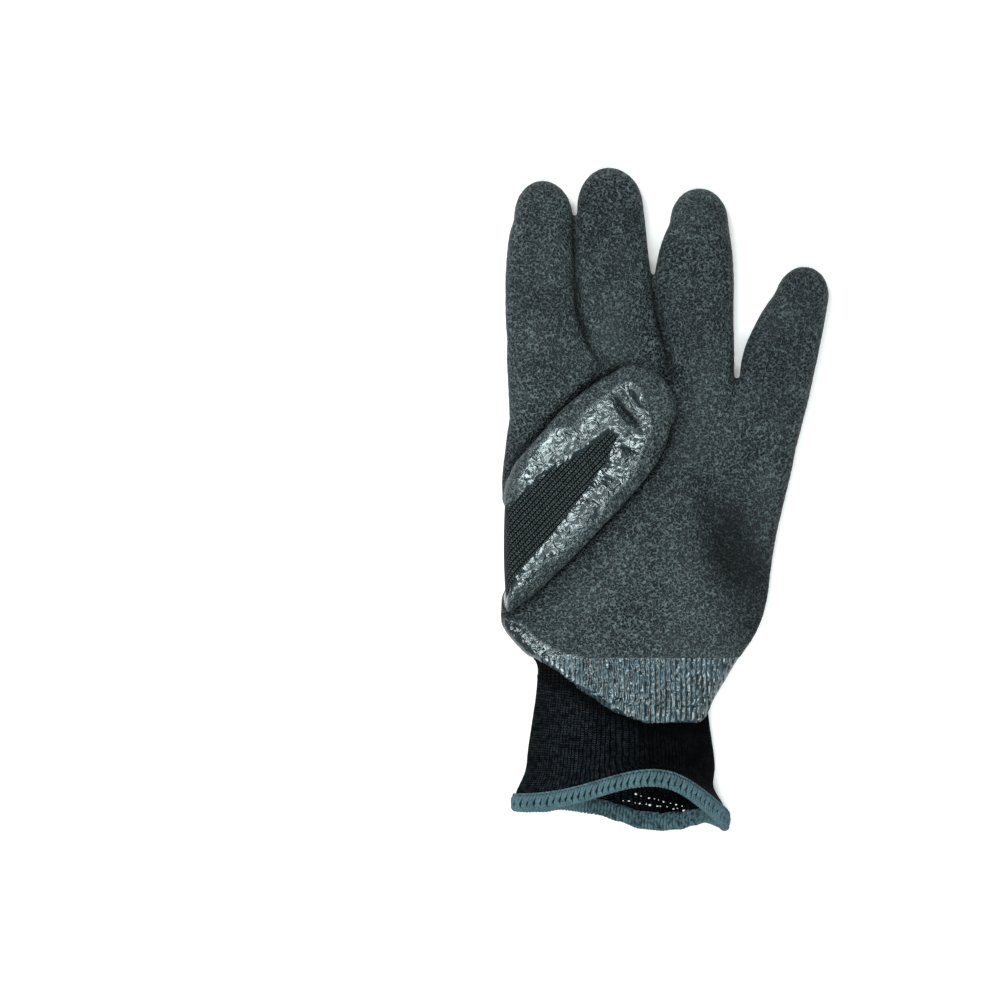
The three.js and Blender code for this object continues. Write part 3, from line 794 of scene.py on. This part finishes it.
def elasticEnds():
    rng = np.random.default_rng(11)
    dots = []
    for (x0, y0), (x1, y1), count in elastic["rows"]:
        for k in range(count):
            t = (k + rng.uniform(-0.25, 0.25)) / (count - 1)
            size = rng.choice(elastic["radius"])
            clearSelection()
            bpy.ops.mesh.primitive_ico_sphere_add(subdivisions=2, radius=size * mm)
            dot = bpy.context.object
            spot = np.array([mix(x0, x1, t), mix(y0, y1, t) + rng.uniform(-0.25, 0.25), 5.5])
            spot[2] = cuffPiece.ray_cast(spot * mm, (0, 0, -1))[1][2] / mm + 0.05
            writeVerts(dot, readVerts(dot) * (1.3, 1, 0.7) + spot)
            dots.append(dot)
    ends = joinPieces("elasticEnds", dots)
    writeAttribute(ends, "elastic", np.ones(len(ends.data.vertices)))
    return ends


# lighter at the left, black where the latex shades it
shadeLine = outlineDistance(cuffPoints[:, :2], [handPoint(*row) for row in dip["wristEdge"]]
                            + [handPoint(0.9, 0.5), handPoint(-0.9, 0.5)])
cuffTone = mix(1.15, 0.3, smoothStep(-38.0, 4.0, cuffPoints[:, 0]))
cuffTone += 0.3 * softNoise(cuffPoints * (1, 0.4, 1), 4.0, 9)
cuffTone *= mix(0.25, 1.0, smoothStep(0.5, 7.0, shadeLine))
writeAttribute(cuffPiece, "tone", np.maximum(cuffTone, 0.1))
cuffPiece = joinPieces("cuffKnit", [cuffPiece, elasticEnds()])
print("cuff shaped", len(cuffPiece.data.polygons), "ribs", ribs)


# the overlocked hem: a soft core round the rim under thick strands that meet in a row of Vs, with a
# two-ply cord along each edge

hem = {
    "pitch": 2.45, "strandWide": 0.6, "strandHigh": 0.42, "ply": 0.36, "plyTurn": 0.26,
    "vRow": 0.29, "overCuff": 4.2, "nose": 2.2, "halfThick": 2.0, "fineness": 400,
}


def rimFrames():
    mouth, ahead = mouthSection()
    outer = ringPoints(mouth, hem["fineness"], -form["linerInset"])
    inner = ringPoints(mouth, hem["fineness"], cuff["inner"])
    middle = (outer + inner) / 2
    normal = outer - inner
    normal /= np.linalg.norm(normal, axis=1)[:, None]
    steps = np.linalg.norm(np.roll(middle, -1, axis=0) - middle, axis=1)
    length = np.concatenate([[0], np.cumsum(steps)])
    middle, normal = np.vstack([middle, middle[:1]]), np.vstack([normal, normal[:1]])
    return middle, normal, length, np.append(ahead, 0)


rimMiddle, rimNormal, rimLength, rimAhead = rimFrames()
stitchCount = round(rimLength[-1] / hem["pitch"])
hemPitch = rimLength[-1] / stitchCount


def rimPlace(s, beyond, through):
    # a point by its length round the rim, its place towards the cuff and through the wall
    s = np.mod(s, rimLength[-1])
    middle = np.column_stack([np.interp(s, rimLength, rimMiddle[:, k]) for k in range(3)])
    normal = np.column_stack([np.interp(s, rimLength, rimNormal[:, k]) for k in range(3)])
    normal /= np.linalg.norm(normal, axis=1)[:, None]
    return middle + rimAhead * np.asarray(beyond)[:, None] + normal * np.asarray(through)[:, None]


def hemProfile(lift):
    # beyond (towards the cuff) and through, round the channel from the outer edge to the inner one
    half = hem["halfThick"] - 0.5 + lift
    nose = hem["nose"] - 0.4 + lift
    over = hem["overCuff"] - 0.3
    out = [(over, half * 0.7), (over - 0.5, half * 0.94), (over - 1.3, half)]
    out += [(b, half) for b in np.linspace(over - 2.0, 0.2, 4)]
    out += [(-math.sin(a) * nose, math.cos(a) * half) for a in np.linspace(0.12, math.pi - 0.12, 9)]
    out += [(b, -half) for b in np.linspace(0.2, over - 1.3, 5)]
    out += [(over - 0.5, -half * 0.94), (over, -half * 0.7)]
    return np.array(out)


hemLine = hemProfile(0.0)
hemSteps = np.concatenate([[0], np.cumsum(np.linalg.norm(np.diff(hemLine, axis=0), axis=1))])


def onHem(s, down, lift):
    # a point by its length round the rim, its length round the channel and its height over it
    before, spot, after = [[np.interp(down + d, hemSteps, hemLine[:, k]) for k in range(2)]
                           for d in (-0.3, 0, 0.3)]
    run = np.subtract(after, before)
    size = np.hypot(*run) + 1e-9
    spots = rimPlace(s, spot[0] + run[1] / size * lift, spot[1] - run[0] / size * lift)
    spots[:, 2] = np.maximum(spots[:, 2], 0.02)
    return sagLip(spots)


coreShape = hemProfile(-0.3)
coreAt = np.linspace(0, rimLength[-1], 300, endpoint=False)
coreRings = [sagLip(rimPlace(np.full(len(coreShape), s), *coreShape.T)) for s in coreAt]
core = tubeThrough("hemCore", coreRings + coreRings[:1], closed=False)
openEdit(core)
bpy.ops.mesh.remove_doubles(threshold=0.01 * mm)
bpy.ops.mesh.normals_make_consistent(inside=False)
closeEdit()
writeAttribute(core, "pit", np.ones(len(core.data.vertices)))


def strand(path, wide, high, sides=8):
    # a strand of yarn laid flat: its path is along the rim, down the channel and up
    path = np.array(path, float)
    rings = []
    for k, spot in enumerate(path):
        ahead = path[min(k + 1, len(path) - 1)] - path[max(k - 1, 0)]
        ahead /= np.linalg.norm(ahead)
        side = np.cross(ahead, (0, 0, 1.0))
        side /= np.linalg.norm(side)
        up = np.cross(side, ahead)
        angle = 2 * np.pi * np.arange(sides) / sides
        rings.append(spot + wide * np.outer(np.cos(angle), side)
                     + high * np.outer(np.sin(angle), up))
    return tubeThrough("strand", rings)


def overlockStitch():
    # two legs that close to a V, two that open from it and run round the nose, and the edge cords
    pitch, whole, vRow = hemPitch, hemSteps[-1], hem["vRow"] * hemSteps[-1]
    wide, high = hem["strandWide"], hem["strandHigh"]
    parts = []
    for way in (-1, 1):
        upper = [(0.25, 0.55, -0.35), (0.26, 0.95, 0.12), (0.24, 1.5, 0.3),
                 (0.18, vRow * 0.74, 0.3), (0.11, vRow * 0.9, 0.2), (0.06, vRow * 1.04, -0.05),
                 (0.04, vRow * 1.12, -0.35)]
        parts.append(strand([((0.5 + way * a + 0.5 * d / vRow) * pitch, d, h) for a, d, h in upper],
                            wide * 0.94, high))
        lower = [(0.05, vRow * 0.92, -0.3), (0.08, vRow * 1.02, 0.08), (0.16, vRow * 1.18, 0.26),
                 (0.23, vRow * 1.38, 0.26), (0.26, vRow * 1.55, 0.22)]
        lower += [(0.26, d, 0.2) for d in np.linspace(vRow * 1.65, whole - 0.3, 10)]
        parts.append(strand([((1 + way * a - 0.6 * smoothStep(vRow, vRow * 2.2, d)) * pitch, d, h)
                             for a, d, h in lower], wide, high))
    for edge, inward in ((0.0, 1), (whole, -1)):
        for phase in (0, math.pi):
            turns = np.linspace(-0.02, 1.02, 11)
            path = []
            for t in turns:
                angle = 2 * math.pi * t + phase
                sway = hem["plyTurn"] * math.cos(angle) + 0.14 * math.sin(2 * math.pi * t) - 0.05
                path.append((t * pitch, edge + inward * sway,
                             0.3 + hem["plyTurn"] * math.sin(angle)))
            parts.append(strand(path, hem["ply"], hem["ply"], 6))
    return joinPieces("stitch", parts)


stitch = overlockStitch()
stitchLocal = readVerts(stitch)
wraps = [core]
rng = np.random.default_rng(7)
for k in range(stitchCount):
    copied = stitch.copy()
    copied.data = stitch.data.copy()
    bpy.context.collection.objects.link(copied)
    shift, stretch = rng.normal(0, 0.03, 2)
    middle = np.clip((stitchLocal[:, 1] - 0.8) / 1.5, 0, 1)
    s = (k + shift * middle) * hemPitch + stitchLocal[:, 0]
    writeVerts(copied, onHem(s, stitchLocal[:, 1] * (1 + stretch * middle), stitchLocal[:, 2]))
    wraps.append(copied)
bpy.data.objects.remove(stitch)
hemPiece = joinPieces("hemOverlock", wraps)
# dark flecks of the liner's yarn among the stitches of the slack lower lip
hemPoints = readVerts(hemPiece)
pitLayer, pits = hemPiece.data.attributes["pit"].data, np.empty(len(hemPoints), np.float32)
pitLayer.foreach_get("value", pits)
lowLip = smoothStep(-34.0, -26.0, hemPoints[:, 0]) * (1 - smoothStep(12.0, 17.0, hemPoints[:, 0]))
lowLip *= 1 - smoothStep(5.0, 6.5, hemPoints[:, 2])
flecks = smoothStep(-0.1, 0.25, softNoise(hemPoints, 0.9, 12))
pitLayer.foreach_set("value", np.maximum(pits, 0.8 * lowLip * flecks).astype(np.float32))
print("hem stitched", stitchCount, len(hemPiece.data.polygons))


# materials

def linear(hexColour, alpha=1.0):
    value = hexColour.lstrip("#")
    out = []
    for k in (0, 2, 4):
        c = int(value[k:k + 2], 16) / 255
        out.append(c / 12.92 if c <= 0.04045 else ((c + 0.055) / 1.055) ** 2.4)
    return (*out, alpha)


def feed(node, inputs):
    # an input takes a value, an output, or a node for its first output
    for key, value in inputs.items():
        value = value.outputs[0] if isinstance(value, bpy.types.Node) else value
        if isinstance(value, bpy.types.NodeSocket):
            node.id_data.links.new(value, node.inputs[key])
        else:
            node.inputs[key].default_value = value


class Nodes:
    # adds nodes to a tree, each with its inputs
    def __init__(self, tree):
        self.tree = tree

    def add(self, kind, inputs, **settings):
        node = self.tree.nodes.new("ShaderNode" + kind)
        for key, value in settings.items():
            setattr(node, key, value)
        feed(node, inputs)
        return node

    def place(self):
        return self.add("TexCoord", {}).outputs["Object"]

    def mask(self, name):
        return self.add("Attribute", {}, attribute_name=name).outputs["Fac"]

    def noise(self, place, scale, detail, **more):
        return self.add("TexNoise", {"Vector": place, "Scale": scale, "Detail": detail, **more})

    def calc(self, operation, *inputs):
        return self.add("Math", dict(enumerate(inputs)), operation=operation)

    def vector(self, operation, *inputs):
        return self.add("VectorMath", dict(enumerate(inputs)), operation=operation)

    def scaled(self, vector, share):
        return self.add("VectorMath", {0: vector, "Scale": share}, operation="SCALE")

    def remap(self, value, low, high, toLow=0.0, toHigh=1.0, **settings):
        return self.add("MapRange", {0: value, 1: low, 2: high, 3: toLow, 4: toHigh}, **settings)

    def blend(self, share, *colours):
        # of two colours, each a hex value or a source
        low, high = (linear(c) if isinstance(c, str) else c for c in colours)
        return self.add("Mix", {0: share, 6: low, 7: high}, data_type="RGBA").outputs[2]

    def bump(self, height, distance, strength=1.0):
        return self.add("Bump", {"Height": height, "Distance": distance, "Strength": strength})


def newMaterial(name):
    material = bpy.data.materials.new(name)
    material.use_nodes = True
    tree = material.node_tree
    return material, tree.nodes["Principled BSDF"], Nodes(tree)


# gleam is how much each of the two finishes mirrors; scales and lengths are for metres
dipped = {
    "gleam": {"crinkleLatex": 0.15, "slickLatex": 1.0},
    "ior": 1.52, "mirrorTint": "#ebf6f7",
    "wormScale": 860.0, "wormTurns": 15.0, "wormMix": (0.5, 0.4, 0.2), "high": 0.0009,
    # painted shade: the negative share for folds darkens the colour in the folds and the thumb's
    # crease
    "shadedFurrow": "#060c0f", "ridge": "#6a7679", "folded": -0.85,
    "thumbSkin": "#1a2529", "shadedGrooves": "#0c171b", "litRibs": "#2c424c",
    "ribPitch": 0.0019, "ribHigh": 0.13,
}


def dippedLatex(name):
    # dipped natural latex, wrinkled with solvent before it cured: dull charcoal ridges, and slick
    # where the dip ran thin over the knit
    material, shader, nodes = newMaterial(name)
    place = nodes.place()
    shine, wristBand, toneAndShade, crevices = map(nodes.mask, ("shine", "wristBand", "tone", "crevice"))
    # short worms about 1 mm apart: level lines of two fine noises, laid over each other
    warp = nodes.noise(place, 900.0, 1.0).outputs["Color"]
    warped = nodes.vector("MULTIPLY_ADD", warp, (0.0007, 0.0007, 0.0007), place)
    worms = nodes.noise(warped, dipped["wormScale"], 0.0).outputs["Color"]
    waves = nodes.vector("SINE", nodes.scaled(worms, dipped["wormTurns"]))
    wormWave = nodes.vector("DOT_PRODUCT", waves, dipped["wormMix"]).outputs["Value"]
    worm01 = nodes.remap(wormWave, -0.45, 1.0)
    ridge = nodes.calc("MULTIPLY_ADD", nodes.noise(place, 2000.0, 2.0), 0.35, worm01)
    # slick skin: crumpled like foil, with the knit's ribs showing on the wrist band
    lumps = nodes.noise(place, 300.0, 2.0, Roughness=0.4, Distortion=0.9)
    pulled = nodes.vector("MULTIPLY_ADD", lumps, (0.0022, 0.0, 0.0), place)
    pulledX = nodes.add("SeparateXYZ", {0: pulled}).outputs["X"]
    ribTurns = nodes.calc("MULTIPLY", pulledX, 2 * math.pi / dipped["ribPitch"])
    ribs = nodes.calc("MULTIPLY", nodes.calc("SINE", ribTurns), wristBand)
    slick = nodes.calc("MULTIPLY_ADD", ribs, dipped["ribHigh"], lumps)
    rougher = nodes.calc("MULTIPLY_ADD", wristBand, 0.3, 0.85)
    slickHigh = nodes.calc("MULTIPLY", slick, rougher)
    height = nodes.add("Mix", {0: shine, 2: ridge, 3: slickHigh})
    cloud = nodes.noise(place, 45.0, 3.0)
    # the dull colour follows the worms' height: painted highlight on their crests and painted shade
    # in the furrows, with random patches from the cloud
    level = nodes.remap(nodes.calc("MULTIPLY_ADD", cloud, 0.45, worm01), 0.16, 1.2)
    dull = nodes.blend(level, dipped["shadedFurrow"], dipped["ridge"])
    # on the wrist band the colour follows the ribs' height: the band's own dark colour, painted
    # lighter on the crests as a highlight and darker between them as shade
    raised = nodes.remap(slick, 0.38, 0.64)
    ribLitSkin = nodes.blend(raised, dipped["shadedGrooves"], dipped["litRibs"])
    bare = nodes.blend(wristBand, dipped["thumbSkin"], ribLitSkin)
    colour = nodes.blend(shine, dull, bare)
    # painted shade: the latex colour is darkened in the folds and the thumb's crease
    folded = nodes.calc("MULTIPLY_ADD", crevices, dipped["folded"], 1.0)
    # painted shade from the tone attribute, with its random patches, darkens the colour further
    shade = nodes.calc("MULTIPLY", folded, toneAndShade)
    # the thin skin is slick in patches and wiped dull between them
    wiped = nodes.remap(cloud, 0.42, 0.62, 0.18, 0.25)
    slickRough = nodes.add("Mix", {0: shine, 2: 0.5, 3: wiped})
    rough = nodes.add("Mix", {0: crevices, 2: slickRough, 3: 0.7})
    feed(shader, {"Base Color": nodes.scaled(colour, shade), "Roughness": rough,
                  "Normal": nodes.bump(height, dipped["high"]), "IOR": dipped["ior"],
                  "Specular IOR Level": dipped["gleam"][name],
                  "Specular Tint": linear(dipped["mirrorTint"])})
    return material


# wale and course in millimetres, depth in metres; uneven pulls the stitches out of line
knits = {
    "handKnit": {"wale": 1.55, "course": 1.15, "deep": 0.0006, "ribbed": 0.15, "uneven": 0.4,
                 "dark": "#020303", "light": "#566061"},
    "cuffKnit": {"wale": 1.3, "course": 0.9, "deep": 0.0006, "ribbed": 0.1, "uneven": 1.0,
                 "dark": "#010202", "light": "#2c3439"},
}


def jerseyKnit(name):
    # plain knit in matt polyester yarn: columns of V stitches, each leg a strand of yarn, with no
    # shine of its own
    yarn = knits[name]
    uneven, ribbed = yarn["uneven"], yarn["ribbed"]
    material, shader, nodes = newMaterial(name)
    place = nodes.place()
    uv = nodes.add("UVMap", {}, uv_map="stitches")
    wobble = nodes.noise(place, 350.0, 2.0).outputs["Color"]
    moved = nodes.vector("MULTIPLY_ADD", wobble, (uneven, uneven, 0.0), uv)
    split = nodes.add("SeparateXYZ", {0: moved}).outputs
    cell = nodes.calc("FRACT", nodes.calc("DIVIDE", split["X"], yarn["wale"]))
    side = nodes.calc("ABSOLUTE", nodes.calc("SUBTRACT", cell, 0.5))
    down = nodes.calc("DIVIDE", split["Y"], yarn["course"])
    slant = nodes.calc("MULTIPLY_ADD", side, -1.5, down)
    strand = nodes.calc("COSINE", nodes.calc("MULTIPLY", slant, 2 * math.pi))
    # a shallow cleft between the two legs, a deep one between the wales
    cleft = nodes.remap(side, 0.0, 0.1, 0.55, interpolation_type="SMOOTHSTEP")
    gap = nodes.remap(side, 0.48, 0.25, interpolation_type="SMOOTHSTEP")
    body = nodes.calc("MULTIPLY", cleft, gap)
    height = nodes.calc("MULTIPLY", body, nodes.remap(strand, -1.0, 1.0))
    both = nodes.calc("MULTIPLY_ADD", body, ribbed, height)
    full = nodes.calc("MULTIPLY_ADD", nodes.noise(place, 3200.0, 2.0), 0.25, both)
    # the yarn colour follows the stitches' height: painted highlight on the strands' tops and
    # painted shade in the clefts and the gaps between the wales
    lit = nodes.remap(both, 0.1, 1.0 + ribbed)
    colour = nodes.blend(lit, yarn["dark"], yarn["light"])
    # lint and slack stitches leave the yarn lighter here and darker there
    mottle = nodes.noise(place, 600.0, 1.0)
    mottled = nodes.remap(mottle, 0.35, 0.65, 1.0 - 0.6 * uneven, 1.0 + 0.7 * uneven)
    toned = nodes.scaled(colour, nodes.calc("MULTIPLY", nodes.mask("tone"), mottled))
    withElastic = nodes.blend(nodes.mask("elastic"), toned, "#eef2f2")
    feed(shader, {"Base Color": withElastic, "Normal": nodes.bump(full, yarn["deep"]),
                  "Roughness": 0.8, "Specular IOR Level": 0.03})
    return material


def overlockYarn(name, darkHex, lightHex):
    # bulky textured polyester, slate teal, soft and matt, with fine filaments
    material, shader, nodes = newMaterial(name)
    place = nodes.place()
    fibre = nodes.noise(place, 1900.0, 3.0, Roughness=0.6)
    cloud = nodes.noise(place, 260.0, 1.0)
    spread = nodes.remap(nodes.calc("MULTIPLY_ADD", cloud, 0.35, fibre), 0.4, 0.95)
    yarn = nodes.blend(spread, darkHex, lightHex)
    colour = nodes.blend(nodes.mask("pit"), yarn, "#0c1a1e")
    feed(shader, {"Base Color": colour, "Normal": nodes.bump(fibre, 0.00015, 0.6),
                  "Roughness": 0.85, "Specular IOR Level": 0.2})
    return material


def dress(obj, material, slotName, *nodes):
    obj.data.materials.clear()
    obj.data.materials.append(material)
    pick(obj)
    bpy.ops.object.shade_smooth()
    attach(obj, "root")
    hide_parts(*nodes)


dress(latex, dippedLatex("crinkleLatex"), "crinkle_latex", "latex_coat")
latex.data.materials.append(dippedLatex("slickLatex"))
corners = np.empty(len(latex.data.loops), np.int32)
starts = np.empty(len(latex.data.polygons), np.int32)
latex.data.loops.foreach_get("vertex_index", corners)
latex.data.polygons.foreach_get("loop_start", starts)
latex.data.polygons.foreach_set("material_index", (shine[corners[starts]] > 0.5).astype(np.int32))
dress(hand, jerseyKnit("handKnit"), "hand_knit",
      "knit_palm", "knit_index", "knit_middle", "knit_ring", "knit_little", "knit_thumb")
dress(cuffPiece, jerseyKnit("cuffKnit"), "cuff_knit", "knit_cuff")
dress(hemPiece, overlockYarn("hemYarn", "#1f343a", "#5c7b82"), "hem_yarn", "hem_overlock")
print("dressed")


# floor, light and camera

studio = {
    "fieldWide": 0.370, "cameraHigh": 1.2, "lookAt": (-0.0612, 0.0003),
    "lampColour": (0.93, 1.0, 1.0),
    # place, width and height in metres, and watts
    "lamps": {
        "keySoftBox": ((-0.66, 0.7, 1.2), 0.5, 0.5, 12.5),
        "sparkleSoftBox": ((-0.3, 0.36, 1.4), 0.26, 0.26, 3.5),
        "stripSoftBox": ((-0.05, -0.7, 1.3), 0.8, 0.42, 13.5),
        "cornerSoftBox": ((-0.75, -0.6, 1.1), 0.36, 0.36, 4.0),
        "sideSoftBox": ((0.5, -0.2, 1.3), 0.26, 0.26, 2.0),
        "overheadSoftBox": ((0.0, 0.1, 1.7), 1.2, 1.2, 3.0),
    },
}


def paleFloor():
    clearSelection()
    bpy.ops.mesh.primitive_plane_add(size=30.0, location=(0, 0, -0.0002))
    floor = bpy.context.object
    floor.name = "paleFloor"
    material, shader = newMaterial("palePaper")[:2]
    feed(shader, {"Base Color": linear("#f6f6f6"), "Roughness": 0.9,
                  "Emission Color": linear("#ffffff"), "Emission Strength": 0.25})
    floor.data.materials.append(material)


def softBox(name, place, wide, high, power):
    clearSelection()
    bpy.ops.object.light_add(type="AREA", location=place)
    lamp = bpy.context.object
    lamp.name = name
    lamp.data.shape = "RECTANGLE"
    lamp.data.size, lamp.data.size_y = wide, high
    lamp.data.energy = power
    lamp.data.color = studio["lampColour"]
    direction = Vector((0.0, 0.0, 0.0)) - Vector(place)
    lamp.rotation_euler = direction.to_track_quat("-Z", "Y").to_euler()


paleFloor()
for lampName, lampSettings in studio["lamps"].items():
    softBox(lampName, *lampSettings)
world = bpy.data.worlds.new("studio")
bpy.context.scene.world = world
world.use_nodes = True
# dim overhead, so that the lamps model the folds, and paler towards the horizon
nodes = Nodes(world.node_tree)
sky = nodes.add("TexCoord", {}).outputs["Generated"]
height = nodes.add("SeparateXYZ", {0: sky}).outputs["Z"]
feed(world.node_tree.nodes["Background"],
     {"Color": (1, 1, 1, 1), "Strength": nodes.remap(height, 0.15, 0.55, 0.4, 0.05)})

cameraData = bpy.data.cameras.new("camera")
camera = bpy.data.objects.new("camera", cameraData)
bpy.context.collection.objects.link(camera)
camera.location = (*studio["lookAt"], studio["cameraHigh"])
cameraData.sensor_width = 36.0
cameraData.lens = 36.0 * (studio["cameraHigh"] - 0.008) / studio["fieldWide"]
bpy.context.scene.camera = camera
bpy.context.scene.view_settings.view_transform = "Standard"

clearSelection()
